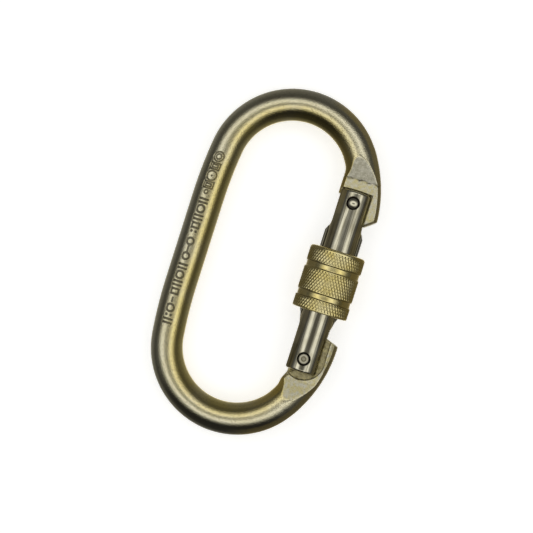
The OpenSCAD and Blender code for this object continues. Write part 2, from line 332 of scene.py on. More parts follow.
def barAxis(x, y):
    # Distance to the bar's centreline in the ring's plane, and how far outside it the point lies.
    up = np.abs(y)
    parts = [(rodDistance(x, up, ring["spineX"], 0, ring["spineHalf"]), ring["spineX"] - x)]
    for centre, r, fromDeg, toDeg, _ in ringArcs:
        parts.append(arcDistance(x, up, centre, r, fromDeg, toDeg))
    parts.append((rodDistance(x, up, ring["noseX"], bar["stubY"], ring["shoulderY"]), x - ring["noseX"]))
    distances = np.stack([p[0] for p in parts])
    return np.min(distances, 0), np.choose(np.argmin(distances, 0), [p[1] for p in parts])


def swellDistance(x, y, z, swellX):
    up = np.abs(y)
    centreX = swellX - bar["swellR"]
    rise = math.sqrt((ring["bendR"] - bar["swellR"]) ** 2 - (centreX - ring["bendX"]) ** 2)
    turn = math.degrees(math.atan2(rise, centreX - ring["bendX"]))
    arc, _ = arcDistance(x, up, (centreX, ring["bendY"] + rise), bar["swellR"], 0, turn)
    rod = rodDistance(x, up, swellX, bar["stubY"], ring["bendY"] + rise)
    return np.hypot(np.minimum(arc, rod), z) - bar["swellTubeR"]


def camPoint(degrees):
    lift = bar["camLow"] + bar["camRise"] * math.radians(degrees)
    s, c = math.sin(math.radians(degrees)), math.cos(math.radians(degrees))
    return (-lift * s - bar["camRise"] * c, lift * c - bar["camRise"] * s)


# Outlines of the two forged ends, from the latch pin and from the rivet.
hook = [(-0.2, -5.85), (5.247, -5.85), (17.247, 3.525), (17.247, 9.0), (-0.2, 9.0)]
cam = [camPoint(bar["camEnd"] * i / bar["camSteps"]) for i in range(bar["camSteps"], -1, -1)]
hinge = [(-3.9, -12.0), (-3.9, min(cam[0][1], bar["camLow"]) - 0.8)] + cam + [
    (2.8, bar["camLow"]), (3.6, 4.3), (3.6, 8.218), (15.6, 3.85), (15.6, -12.0)]

# What is cut away round them. Places are from the latch pin or the rivet, turns are in degrees.
cuts = {
    "tipAt": (-0.2, -3.85),  # the hook's rounded tip
    "tipR": 2.0,
    "latchPlay": 0.35,
    "latchSlot": ((-12, -1.85), (0, 9.0)),
    "noseRoom": ((-12, -24), (12, 1.95)),
    "bevelTurns": (45, 38),
    "bevelDepth": 0.495,
    "bevelRound": 0.25,
    "hingeRoom": ((-12, -5.2), (12, 24)),
    "runOut": [(-12, -5.19), (-3.9, -5.19), (-5.3, -8.4), (-12, -8.4)],
    "cornerAt": (18.193, -29.2, 3.05),  # a slanting cut off the tongue's corner, in the ring's plane
    "cornerTurns": (24, 45),
    "cornerMiddle": -5.85,
    "cornerHalf": 6.15,
    "cornerDrop": 2.59,
    "cornerRound": 0.2,
    "rivetPlay": 0.05,
}


def halfSpace(x, y, z, at, normal):
    return (x - at[0]) * normal[0] + (y - at[1]) * normal[1] + (z - at[2]) * normal[2]


def turned(vector, aroundX, aroundZ):
    x, y, z = vector
    c, s = math.cos(math.radians(aroundX)), math.sin(math.radians(aroundX))
    y, z = y * c - z * s, y * s + z * c
    c, s = math.cos(math.radians(aroundZ)), math.sin(math.radians(aroundZ))
    return (x * c - y * s, x * s + y * c, z)


def barRound(x, y, z):
    distance, _ = barAxis(x, y)
    tube = np.hypot(distance, z) - ring["barR"]
    if x.max() < bar["plainToX"]:
        return tube
    swell = np.where(y > 0, swellDistance(x, y, z, bar["noseSwellX"]),
                     swellDistance(x, y, z, bar["hingeSwellX"]))
    return np.where(x > bar["swellFromX"], smoothMin(tube, swell, bar["swellBlend"]), tube)


def barFaces(x, y, z):
    # The milled tongue: flat, then a ramp out to the round bar.
    up = np.abs(y)
    flatY = np.where(y > 0, bar["noseFlatY"], bar["hingeFlatY"])
    t = math.radians(bar["rampAngle"])
    thin = np.abs(z) - bar["tongueHalf"]
    ramp = thin * math.cos(t) - (up - flatY) * math.sin(t)
    return np.where(x > bar["facesFromX"], np.minimum(thin, ramp), -far)


def cheekRoom(x, y, z):
    # The second milling, where the gate's cheeks swing.
    rx, ry = x - ring["gateX"], y - ring["rivetY"]
    away = np.hypot(rx, ry)
    nose = np.maximum(np.maximum(away - bar["noseTurnR"], rx - bar["noseRoomX"]), bar["noseRoomY"] - ry)
    strip = np.maximum(np.maximum(rx - bar["hingeRoomX"], -ry), ry - bar["hingeRoomHigh"])
    room = np.minimum(np.minimum(nose, strip), away - bar["hingeTurnR"])
    return np.maximum(room, bar["neckHalf"] - np.abs(z))


def barCuts(x, y, z):
    # What is cut away round the hook and the hinge tongue, with the rivet's hole: positive where cut.
    hx, hy = x - ring["gateX"], y - ring["latchY"]
    tip = np.hypot(hx - cuts["tipAt"][0], hy - cuts["tipAt"][1]) - cuts["tipR"]
    outline = np.minimum(polygonDistance(hx, hy, hook), tip)
    outline = np.maximum(outline, ring["pinR"] + cuts["latchPlay"] - np.hypot(hx, hy))
    outline = np.maximum(outline, -boxDistance(hx, hy, *cuts["latchSlot"]))
    nose = np.maximum(boxDistance(hx, hy, *cuts["noseRoom"]), -outline)
    slant = turned((0, 0, 1), *cuts["bevelTurns"])
    bevel = halfSpace(hx, hy, np.abs(z), (*hook[1], bar["tongueHalf"]), slant) + cuts["bevelDepth"]
    nose = smoothMax(-nose, np.where(y > 0, bevel, -far), cuts["bevelRound"])
    rx, ry = x - ring["gateX"], y - ring["rivetY"]
    room = np.maximum(boxDistance(rx, ry, *cuts["hingeRoom"]), -polygonDistance(rx, ry, hinge))
    tongue = -np.minimum(room, polygonDistance(rx, ry, cuts["runOut"]))
    local = [halfSpace(x, y, np.abs(z), cuts["cornerAt"], turned(v, *cuts["cornerTurns"]))
             for v in ((1, 0, 0), (0, 1, 0), (0, 0, 1))]
    corner = np.abs(local[0] - cuts["cornerMiddle"]) - cuts["cornerHalf"]
    corner = np.maximum(np.maximum(corner, -local[1]), -(local[2] + cuts["cornerDrop"]))
    tongue = smoothMax(tongue, np.where(y < 0, -corner, -far), cuts["cornerRound"])
    tongue = np.maximum(tongue, ring["pinR"] + cuts["rivetPlay"] - np.hypot(rx, ry))
    return np.where(y > 0, nose, tongue)


# Struck marks along the top of the spine: plain rings, boxes, dots and strokes that spell nothing.
# Places are (along, across) in millimetres, along from hinge to nose and across to the outside.
marks = {
    "middle": 0.45,
    "wall": 0.22,
    "dot": 1.4,  # a dot's radius over half a line's width
    "full": 0.3,  # the depth at which a mark's painted shade is as dark as any
    "around": (18, 3, 33),  # the marks lie past these in -X, in Z and within this of the middle in Y
    "close": (19, 4.2, 31.5),  # where the mesh is made finer for them
    "fine": {"line": 0.34, "depth": 0.28,
             "rings": [(26.4, 1.5), (26.4, 0.8), (20.2, 1.5), (15.0, 0.6)],
             "boxes": [(23.3, 1.0, 1.5), (23.3, 0.42, 0.85), (17.2, 1.0, 1.5), (17.2, 0.42, 0.85)],
             "dots": [(20.2, 0.0)],
             "strokes": []},
    "bold": {"line": 0.5, "depth": 0.36,
             "rings": [(9.5, 1.15), (-0.9, 1.05), (-5.6, 1.05), (-11.6, 1.15), (-22.1, 1.15)],
             "boxes": [(4.2, 0.75, 1.15), (-16.9, 0.75, 1.15)],
             "dots": [(2.3, 0.7), (2.3, -0.7), (-24.3, 0.7), (-24.3, -0.7)],
             "strokes": [(-2.2, 0, -4.3, 0), (-19.0, 0, -20.1, 0)] + [
                 (along, -1.35, along, 1.35)
                 for along in (12.7, 11.5, 7.4, 6.2, -8.3, -9.5, -13.7, -14.9, -25.6, -26.8)]},
}


def struck(along, across):
    # How deep the marks are cut at a place on the spine, in millimetres, with sloped walls.
    across = across - marks["middle"]
    depth = np.zeros(along.shape)
    for kind in ("fine", "bold"):
        group = marks[kind]
        shape, half = np.full(along.shape, far), group["line"] / 2
        for s, r in group["rings"]:
            shape = np.minimum(shape, np.abs(np.hypot(along - s, across) - r) - half)
        for s, wide, high in group["boxes"]:
            box = boxDistance(along - s, across, (-wide, -high), (wide, high))
            shape = np.minimum(shape, np.abs(box) - half)
        for s, t in group["dots"]:
            shape = np.minimum(shape, np.hypot(along - s, across - t) - marks["dot"] * half)
        for s0, t0, s1, t1 in group["strokes"]:
            ds, dt = s1 - s0, t1 - t0
            f = np.clip(((along - s0) * ds + (across - t0) * dt) / (ds * ds + dt * dt), 0, 1)
            shape = np.minimum(shape, np.hypot(along - s0 - f * ds, across - t0 - f * dt) - half)
        u = np.clip(0.5 - shape / marks["wall"], 0, 1)
        depth = np.maximum(depth, group["depth"] * u * u * (3 - 2 * u))
    return depth


def wanderY(x):
    high, rate, high2, rate2, start = scuff["wander"]
    return bar["noseFlatY"] + high * np.sin(rate * x) + high2 * np.sin(rate2 * x + start)


def ringField(x, y, z):
    tube = barRound(x, y, z)
    if x.max() < bar["plainToX"]:
        return tube
    milledSide = x > bar["cutsFromX"]
    shape = smoothMax(tube, barFaces(x, y, z), bar["rampRound"])
    least, more, rate, start = scuff["fade"]
    fade = least + more * np.sin(rate * x + start)
    scuffed = np.exp(-((y - wanderY(x)) / scuff["width"]) ** 2) * fade
    shape = shape + np.where(milledSide, scuff["depth"] * scuffed, 0)
    shape = np.where(milledSide, smoothMax(shape, -cheekRoom(x, y, z), bar["cheekRound"]), shape)
    return np.where(milledSide, smoothMax(shape, barCuts(x, y, z), bar["edgeRound"]), shape)


def aroundMarks(x, y, z):
    atX, atZ, halfY = marks["around"]
    return (x < -atX) & (z > atZ) & (np.abs(y) < halfY)


def markedRingField(x, y, z):
    shape = ringField(x, y, z)
    near = aroundMarks(x, y, z)
    if near.any():
        _, outward = barAxis(x[near], y[near])
        shape[near] += struck(y[near], outward)
    return shape


def onMarks(point):
    atX, atZ, halfY = marks["close"]
    return point.x < -atX and point.z > atZ and abs(point.y) < halfY


# Where the ring gets painted shade, a smudge, and its milled and ramp colours, in millimetres in its
# plane.
colourPlaces = {
    "neckX": 13.0,
    "neckBand": 0.12,
    "edgeX": 26.75,  # the hinge tongue's outer edge, which gets painted shade beside the gate
    "edgeY": -23.0,
    "edgeHalf": 10.0,
    "edgeZ": 2.9,
    "edgeShare": 0.8,
    "creaseWidth": 0.2,
    "creaseFade": (0.5, 2.3),
    "smudgeX": 16.6,
    "smudgeDrop": 0.2,
    "smudgeHalf": (0.9, 0.35),
    "smudgeShare": 0.4,
    "rampBlend": 0.2,
    "milledX": 7.0,
    "milledFrom": 0.04,
    "milledBlend": 0.12,
}

print("bending and milling the ring")
ringPiece, ringPoints = skinPiece(
    "ringBar", ringField, (-29.2, -55.2, -5.6), (29.2, 55.2, 5.6), bar["cell"], bar["keep"],
    "ring", "yellow_zinc_bar", "body", onMarks, markedRingField)
x, y, z = ringPoints.T
_, outward = barAxis(x, y)
giveShare(ringPiece.data, "outward", outward / ring["barR"])
# Painted shade in the struck marks, darker the deeper they are cut.
giveShare(ringPiece.data, "struck", np.where(aroundMarks(x, y, z), struck(y, outward) / marks["full"], 0))
# Painted shade: the recess floor under the gate's cheeks, and the hinge tongue's outer edge beside it.
onNeck = (x > colourPlaces["neckX"]) & (np.abs(np.abs(z) - bar["neckHalf"]) < colourPlaces["neckBand"])
onEdge = (x > colourPlaces["edgeX"]) & (np.abs(y - colourPlaces["edgeY"]) < colourPlaces["edgeHalf"])
onEdge &= np.abs(z) > colourPlaces["edgeZ"]
giveShare(ringPiece.data, "neck", np.maximum(onNeck, colourPlaces["edgeShare"] * onEdge))
least, rate = colourPlaces["creaseFade"]
fade = least + (1 - least) * np.sin(rate * x)
# Painted shade along the cutter's crease, and a dark smudge beside the ramp.
crease = np.exp(-((y - wanderY(x)) / colourPlaces["creaseWidth"]) ** 2) * fade
smudge = np.hypot((x - colourPlaces["smudgeX"]) / colourPlaces["smudgeHalf"][0],
                  (y - bar["noseFlatY"] + colourPlaces["smudgeDrop"]) / colourPlaces["smudgeHalf"][1]) < 1
crease = np.maximum(crease, colourPlaces["smudgeShare"] * smudge)
giveShare(ringPiece.data, "crease", crease * (x > bar["cutsFromX"]))
giveShare(ringPiece.data, "ramp", np.clip((y - bar["noseFlatY"]) / colourPlaces["rampBlend"], 0, 1))
under = -barRound(x, y, z)  # how far a point lies under the round bar, so on a milled face
milled = np.clip((under - colourPlaces["milledFrom"]) / colourPlaces["milledBlend"], 0, 1)
giveShare(ringPiece.data, "milled", np.where(x > colourPlaces["milledX"], milled, 0))


gate = {
    "r": 5.3,
    "half": 28.75,
    "endRound": 0.8,
    "slotHalf": 2.15,
    "noseFloor": 16.445,
    "hingeFloor": -12.995,
    "boreR": 2.05,
    "boreTop": 11.045,
    "holeR": 1.62,
    "recessR": 1.97,
    "recessZ": 4.0,
    "boreCone": 0.55,
    "boreStart": 2.0,  # how far below the slot's floor the bore begins
    "ribHalf": 1.3,
    "ribs": [(-12.9, 5.1), (-11.3, 5.6), (-10.275, 6.05), (15.095, 6.05), (17.3, 5.1)],  # (along, radius)
    "threadPitch": 1.25,
    "threadDepth": 0.5,
    "threadEnds": (-9.7, 9.5),
    "threadFade": 0.4,
    "threadShape": (1.6, 0.3),  # how steep the teeth are, and how flat their crests
    "ribRound": 0.35,
    "holeRound": 0.1,
    "edgeRound": 0.3,
    "cell": 0.2,
    "keep": 0.5,
    "wornX": 0.25,  # a dull line along the top, beside the slot on the hinge's side
    "wornWidth": 0.45,
    "wornFull": 1.6,
    "wornToY": -9.0,
    "wornFade": 2.0,
    "shadeR": 2.2,  # painted shade round the pins' countersinks and along the thread ribs
    "shadeBlend": 0.16,
    "ribShade": 0.6,
}


def gateField(x, y, z):
    gx = x - ring["gateX"]
    r = np.hypot(gx, z)
    e = gate["endRound"]
    dr, dy = r - gate["r"] + e, np.abs(y) - gate["half"] + e
    shape = np.hypot(np.maximum(dr, 0), np.maximum(dy, 0)) + np.minimum(np.maximum(dr, dy), 0) - e
    # thread ribs down each side, with teeth where the sleeve runs
    ribR = np.interp(y, *zip(*gate["ribs"]))
    turn = np.arctan2(z, gx) / (2 * math.pi)
    wave = np.abs(np.mod(y / gate["threadPitch"] + turn, 1) * 2 - 1)
    low, high = gate["threadEnds"]
    fade = gate["threadFade"]
    teeth = np.clip((y - low) / fade, 0, 1) * np.clip((high - y) / fade, 0, 1)
    steep, crest = gate["threadShape"]
    teeth = teeth * gate["threadDepth"] * np.clip(steep * wave - crest, 0, 1)
    rib = np.maximum(r - ribR + teeth, np.abs(z) - gate["ribHalf"])
    shape = smoothMin(shape, rib, gate["ribRound"])
    h = gate["slotHalf"]
    noseSlot = np.where(y > gate["noseFloor"] + h, np.abs(z), np.hypot(y - gate["noseFloor"] - h, z))
    hingeSlot = np.where(y < gate["hingeFloor"] - h, np.abs(z), np.hypot(y - gate["hingeFloor"] + h, z))
    cut = np.maximum(h - noseSlot, h - hingeSlot)
    bore = np.maximum(r - gate["boreR"], y - gate["boreTop"] - gate["boreCone"] * (gate["boreR"] - r))
    bore = np.maximum(bore, gate["hingeFloor"] - gate["boreStart"] - y)
    shape = smoothMax(shape, cut, gate["edgeRound"])
    shape = np.maximum(shape, -bore)
    for holeY in (ring["latchY"], ring["rivetY"]):
        away = np.hypot(gx, y - holeY)
        shape = smoothMax(shape, gate["holeR"] - away, gate["holeRound"])
        sunk = np.maximum(away - gate["recessR"], gate["recessZ"] - np.abs(z))
        shape = smoothMax(shape, -sunk, gate["holeRound"])
    return shape


print("turning the gate")
gatePiece, gatePoints = skinPiece(
    "gateArm", gateField, (13.6, -29.2, -6.3), (26.2, 29.2, 6.3), gate["cell"], gate["keep"],
    "gate_arm", "bright_steel", "gate")
x, y, z = gatePoints.T
gx = x - ring["gateX"]
worn = np.clip(gate["wornFull"] - np.abs(gx - gate["wornX"]) / gate["wornWidth"], 0, 1) * (z > 0)
giveShare(gatePiece.data, "worn", worn * np.clip((gate["wornToY"] - y) / gate["wornFade"], 0, 1))
fromPins = np.minimum(np.hypot(gx, y - ring["latchY"]), np.hypot(gx, y - ring["rivetY"]))
onRibs = np.hypot(gx, z) > gate["r"] + 0.03
# painted shade round the pins and on the thread ribs
paintedShade = np.clip((gate["shadeR"] - fromPins) / gate["shadeBlend"], 0, 1)
giveShare(gatePiece.data, "paintedShade", np.maximum(paintedShade, gate["ribShade"] * onRibs))


sleeve = {
    "lowY": -9.925,
    "length": 19.65,
    "r": 8.675,
    "boreR": 6.1,
    "boreLength": 8.06,
    "counterR": 7.397,
    "bands": [(0.45, 3.55), (5.9, 12.53), (14.88, 18.65)],  # knurled stretches, from the low end
    "grooves": [(3.79, 5.66), (12.77, 14.64)],
    "grooveDepth": 0.33,
    "grooveWall": 0.3,
    "lowRound": 0.45,
    "highRound": 0.9,
    "mouthRound": 0.2,
    "diamonds": 54,
    "slant": 60,  # degrees
    "knurlDepth": 0.32,
    "knurlFade": 0.3,
    "uneven": 0.4,
    "unevenSpread": 0.8,
    "crest": 0.1,
    "grooveShape": 1.5,
    "columns": 432,
    "step": 0.14,
    "boreStep": 0.25,
    "rimWidth": 0.12,  # the painted shade along each groove's rims
    "rimShade": 0.8,
}


def knurlDepth(y, angle):
    # Two sets of slanted V grooves make the diamonds. They fade out at each band's ends.
    n, pitch = sleeve["diamonds"], 2 * math.pi * sleeve["r"] / sleeve["diamonds"]
    lead = 1 / (pitch * math.tan(math.radians(sleeve["slant"])))
    left = np.abs(np.mod(n * angle / (2 * math.pi) + y * lead, 1) * 2 - 1)
    right = np.abs(np.mod(n * angle / (2 * math.pi) - y * lead, 1) * 2 - 1)
    # the wheels bit unevenly: one slant is deeper on this side of the sleeve, the other on that
    side = np.clip(0.5 + sleeve["unevenSpread"] * np.cos(angle), 0, 1)
    cut = np.maximum(left - sleeve["uneven"] * side, right - sleeve["uneven"] * (1 - side))
    cut = np.clip((cut - sleeve["crest"]) / (1 - sleeve["crest"]), 0, 1) ** sleeve["grooveShape"]
    share, fade = np.zeros_like(y), sleeve["knurlFade"]
    for low, high in sleeve["bands"]:
        share = np.maximum(share, np.clip((y - low) / fade, 0, 1) * np.clip((high - y) / fade, 0, 1))
    return sleeve["knurlDepth"] * cut * share


def sleeveProfile():
    # Radius and height from the low end, round the whole wall: outside up, then down the bore.
    s = sleeve
    line = []
    for i in range(7):
        a = math.radians(90 * i / 6)
        line.append((s["r"] - s["lowRound"] * (1 - math.sin(a)), s["lowRound"] * (1 - math.cos(a))))
    y = s["lowRound"]
    while y < s["length"] - s["highRound"]:
        y += s["step"]
        depth = 0
        for low, high in s["grooves"]:
            inside = min(y - low, high - y)
            depth = max(depth, s["grooveDepth"] * min(1, max(0, inside / s["grooveWall"] + 0.3)))
        line.append((s["r"] - depth, y))
    for i in range(1, 11):
        a = math.radians(90 * i / 10)
        line.append((s["r"] - s["highRound"] * (1 - math.cos(a)),
                     s["length"] - s["highRound"] * (1 - math.sin(a))))
    mouth, floor = s["mouthRound"], s["boreLength"]
    line += [(s["counterR"] + mouth, s["length"]), (s["counterR"], s["length"] - mouth)]
    line += [(s["counterR"], y) for y in np.linspace(s["length"] - 0.5, floor + 0.3, 12)]
    line += [(s["counterR"] - 0.05, floor + 0.02), (s["boreR"] + 0.25, floor)]
    y = floor - s["boreStep"]
    while y > 0.3:
        line.append((s["boreR"], y))
        y -= s["boreStep"]
    line += [(s["boreR"] + 0.22, 0)]
    return np.array(line)


print("cutting the knurl")
profile = sleeveProfile()
turns = np.linspace(0, 2 * math.pi, sleeve["columns"], endpoint=False)
radius, angle = np.meshgrid(profile[:, 0], turns, indexing="ij")
height, _ = np.meshgrid(profile[:, 1], turns, indexing="ij")
outer = radius > sleeve["counterR"] + 0.5
radius = np.where(outer, radius - knurlDepth(height, angle), radius)
sleevePoints = np.stack([ring["gateX"] + radius * np.cos(angle), sleeve["lowY"] + height,
                         radius * np.sin(angle)], 2).reshape(-1, 3)
rows, columns = len(profile), sleeve["columns"]
i, j = np.meshgrid(np.arange(rows), np.arange(columns), indexing="ij")
nextI, nextJ = (i + 1) % rows, (j + 1) % columns
sleeveFaces = np.stack([i * columns + j, nextI * columns + j,
                        nextI * columns + nextJ, i * columns + nextJ], 2)
sleeveMesh = meshFrom("lockSleeve", ringToWorld(sleevePoints), sleeveFaces.reshape(-1, 4))
sleevePiece = piece("lockSleeve", sleeveMesh, "sleeve", "yellow_zinc_sleeve", "lock_sleeve")
# Painted shade: darker down in the knurl's cuts the deeper they are, and along the grooves' rims.
fromRims = np.abs(np.subtract.outer(height, np.ravel(sleeve["grooves"]))).min(-1)
rims = sleeve["rimShade"] * (fromRims < sleeve["rimWidth"])
cutShade = np.maximum(knurlDepth(height, angle) / sleeve["knurlDepth"], rims)
giveShare(sleeveMesh, "cut", np.where(outer, cutShade, 0).ravel())


# The spring is a piece of its own, copied from the CAD spring and carried with the gate arm.
print("winding the spring")
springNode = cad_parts["gate_spring"]
springMesh = springNode.data.copy()
springMesh.name = "gateSpring"
springMesh.transform(springNode.matrix_world)
springPiece = piece("gateSpring", springMesh, "gate_arm", "spring_wire", "gate_spring")
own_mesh(springPiece)


def linear(hexColour):
    parts = [int(hexColour[i:i + 2], 16) / 255 for i in (1, 3, 5)]
    return tuple(c / 12.92 if c <= 0.04045 else ((c + 0.055) / 1.055) ** 2.4 for c in parts) + (1.0,)


def addNode(tree, kind, settings=None, links=None):
    # A link comes from a socket, or from a node's first output.
    node = tree.nodes.new("ShaderNode" + kind)
    for name, value in (settings or {}).items():
        if isinstance(name, str) and hasattr(node, name):
            setattr(node, name, value)
        else:
            node.inputs[name].default_value = value
    for name, source in (links or {}).items():
        tree.links.new(source.outputs[0] if hasattr(source, "outputs") else source, node.inputs[name])
    return node


def newFinish(name):
    made = bpy.data.materials.new(name)
    made.use_nodes = True
    tree = made.node_tree
    tree.nodes.clear()
    return made, tree


def perMetre(size):
    # A noise scale whose features are about this many millimetres across.
    return 1 / (size * mm)


# In the three dictionaries below, a range says where a pattern starts to show and where it shows in full.
zinc = {
    "golden": "#D9C77C",
    "cream": "#C9C2A2",
    "milled": "#CFC594",
    "ramp": "#B7B29B",
    "pale": "#D2CEBB",
    # dull: the specks' colour, and the painted shade under the gate
    "dull": "#7A7048",
    # the colour of the painted shade in the marks and the crease, and of the smudge
    "marks": "#363020",
    "roughness": 0.17,
    "milledRoughness": 0.42,
    "patchSize": 11.0,
    "blotchSize": 1.1,
    "grainSize": 0.34,
    "pitDepth": 0.05,
    "creamRange": {"From Min": -0.6, "From Max": 0.1},
    "paleRange": {"From Min": 0.45, "From Max": 0.7, "To Max": 0.35},
    "paleMilledRange": {"From Min": 0.4, "From Max": 0.62},
    "shadeByGateRange": {"From Min": 0.35, "From Max": 0.65, "To Min": 0.45, "To Max": 1.0},
    "speckRange": {"From Min": 0.54, "From Max": 0.7, "To Max": 0.42},
    "shadeAndSmudgeRange": {"From Min": 0.2, "From Max": 0.9, "To Max": 0.72},
}


def zincPlatedSteelYellow():
    # Yellow passivated zinc on rolled bar: a soft gleam, gold and pale grey in patches, finely pitted.
    # Painted shade darkens the struck marks, the cutter's crease, the recess under the gate's cheeks and
    # the hinge tongue's edge.
    made, tree = newFinish("zincPlatedSteelYellow")
    place = addNode(tree, "TexCoord").outputs["Object"]
    share = {}
    for name in ("outward", "milled", "neck", "struck", "ramp", "crease"):
        share[name] = addNode(tree, "Attribute", {"attribute_name": name}).outputs["Fac"]
    for name, detail in (("patch", 3.0), ("blotch", 4.0), ("grain", 2.0)):
        settings = {"Scale": perMetre(zinc[name + "Size"]), "Detail": detail}
        share[name] = addNode(tree, "TexNoise", settings, {"Vector": place}).outputs["Fac"]
    for name, source in (("cream", "outward"), ("pale", "patch"), ("paleMilled", "blotch"),
                         ("shadeByGate", "blotch"), ("speck", "grain"), ("shadeAndSmudge", "struck")):
        share[name] = addNode(tree, "MapRange", zinc[name + "Range"],
                              {"Value": share[source]})
    # painted shade in blotches on the recess under the gate's cheeks and on the hinge tongue's edge, and
    # painted shade along the cutter's crease, with its smudge
    for name, other, operation in (("shadeByGate", "neck", "MULTIPLY"), ("shadeAndSmudge", "crease", "MAXIMUM")):
        share[name] = addNode(tree, "Math", {"operation": operation},
                              {0: share[name], 1: share[other]})
    coats = {}
    for under, over, cover, pale in (("golden", "cream", "cream", "pale"),
                                     ("milled", "ramp", "ramp", "paleMilled")):
        settings = {"data_type": "RGBA", 6: linear(zinc[under]), 7: linear(zinc[over])}
        coats[under] = addNode(tree, "Mix", settings, {0: share[cover]}).outputs[2]
        coats[under] = addNode(tree, "Mix", {"data_type": "RGBA", 7: linear(zinc["pale"])},
                               {0: share[pale], 6: coats[under]}).outputs[2]
    colour = addNode(tree, "Mix", {"data_type": "RGBA"},
                     {0: share["milled"], 6: coats["golden"], 7: coats["milled"]}).outputs[2]
    for over, cover in (("dull", "shadeByGate"), ("dull", "speck"), ("marks", "shadeAndSmudge")):
        colour = addNode(tree, "Mix", {"data_type": "RGBA", 7: linear(zinc[over])},
                         {0: share[cover], 6: colour}).outputs[2]
    rough = addNode(tree, "MapRange",
                    {"To Min": zinc["roughness"], "To Max": zinc["milledRoughness"]},
                    {"Value": share["milled"]})
    pits = addNode(tree, "Bump", {"Strength": 1.0, "Distance": zinc["pitDepth"] * mm},
                   {"Height": share["grain"]})
    shader = addNode(tree, "BsdfPrincipled", {"Metallic": 1.0},
                     {"Base Color": colour, "Roughness": rough, "Normal": pits})
    addNode(tree, "OutputMaterial", None, {"Surface": shader})
    return made


knurled = {
    "gold": "#DAC87F",
    "paleGold": "#E6D9A0",
    # the colour of the painted shade in the cuts and at the rims
    "cut": "#4A3C1A",
    "speck": "#8C7A40",
    "patchSize": 4.0,
    "grainSize": 0.7,
    "grainDepth": 0.03,
    "grainStrength": 0.2,
    "paleRange": {"From Min": 0.35, "From Max": 0.65},
    "cutRange": {"From Min": 0.35, "From Max": 0.9, "To Max": 0.92},
    "speckRange": {"From Min": 0.6, "From Max": 0.72, "To Max": 0.4},
    "roughRange": {"From Min": 0.3, "From Max": 0.7, "To Min": 0.2, "To Max": 0.3},
}


def zincPlatedSteelSleeve():
    # The same plating, deeper gold on the fresh knurl, with painted shade down in the knurl's cuts and
    # along the grooves' rims.
    made, tree = newFinish("zincPlatedSteelSleeve")
    place = addNode(tree, "TexCoord").outputs["Object"]
    share = {"cut": addNode(tree, "Attribute", {"attribute_name": "cut"}).outputs["Fac"]}
    for name, detail in (("grain", 3.0), ("patch", 2.0)):
        settings = {"Scale": perMetre(knurled[name + "Size"]), "Detail": detail}
        share[name] = addNode(tree, "TexNoise", settings, {"Vector": place}).outputs["Fac"]
    for name, source in (("pale", "patch"), ("cut", "cut"), ("speck", "grain"), ("rough", "grain")):
        share[name] = addNode(tree, "MapRange", knurled[name + "Range"],
                              {"Value": share[source]})
    settings = {"data_type": "RGBA", 6: linear(knurled["gold"]), 7: linear(knurled["paleGold"])}
    colour = addNode(tree, "Mix", settings, {0: share["pale"]}).outputs[2]
    for over in ("cut", "speck"):
        colour = addNode(tree, "Mix", {"data_type": "RGBA", 7: linear(knurled[over])},
                         {0: share[over], 6: colour}).outputs[2]
    pits = addNode(tree, "Bump",
                   {"Strength": knurled["grainStrength"], "Distance": knurled["grainDepth"] * mm},
                   {"Height": share["grain"]})
    shader = addNode(tree, "BsdfPrincipled", {"Metallic": 1.0},
                     {"Base Color": colour, "Roughness": share["rough"], "Normal": pits})
    addNode(tree, "OutputMaterial", None, {"Surface": shader})
    return made


# The last five say how rough a piece is along its drawing lines and between them, and how much they show.
nickel = {
    "bright": "#CDC8B1",
    "soft": "#BAB49B",
    "line": "#77715C",
    # the colour of the painted shade round the pins and on the ribs
    "paintedShade": "#26221A",
    "lineSize": 0.5,
    "lineStretch": 30.0,
    "lineDepth": 0.035,
    "patchSize": 3.3,
    "softRange": {"From Min": 0.35, "From Max": 0.7},
    "lineRange": {"From Min": 0.48, "From Max": 0.64},
    "roughRange": {"From Min": 0.3, "From Max": 0.7},
    "wornShare": 0.3,
    "rimR": 1.25,
    "rimFullR": 1.5,
    "rimShade": 0.9,
    "dimpleR": 0.55,
    "dimpleFull": 0.6,
    "dimpleShare": 0.4,
    "gate": (0.08, 0.18, 0.75),
    "pin": (0.12, 0.2, 0.15),
    "rivet": (0.34, 0.44, 0.15),
    "latch": (0.1, 0.16, 0.15),
    "wire": (0.2, 0.3, 0.1),
}


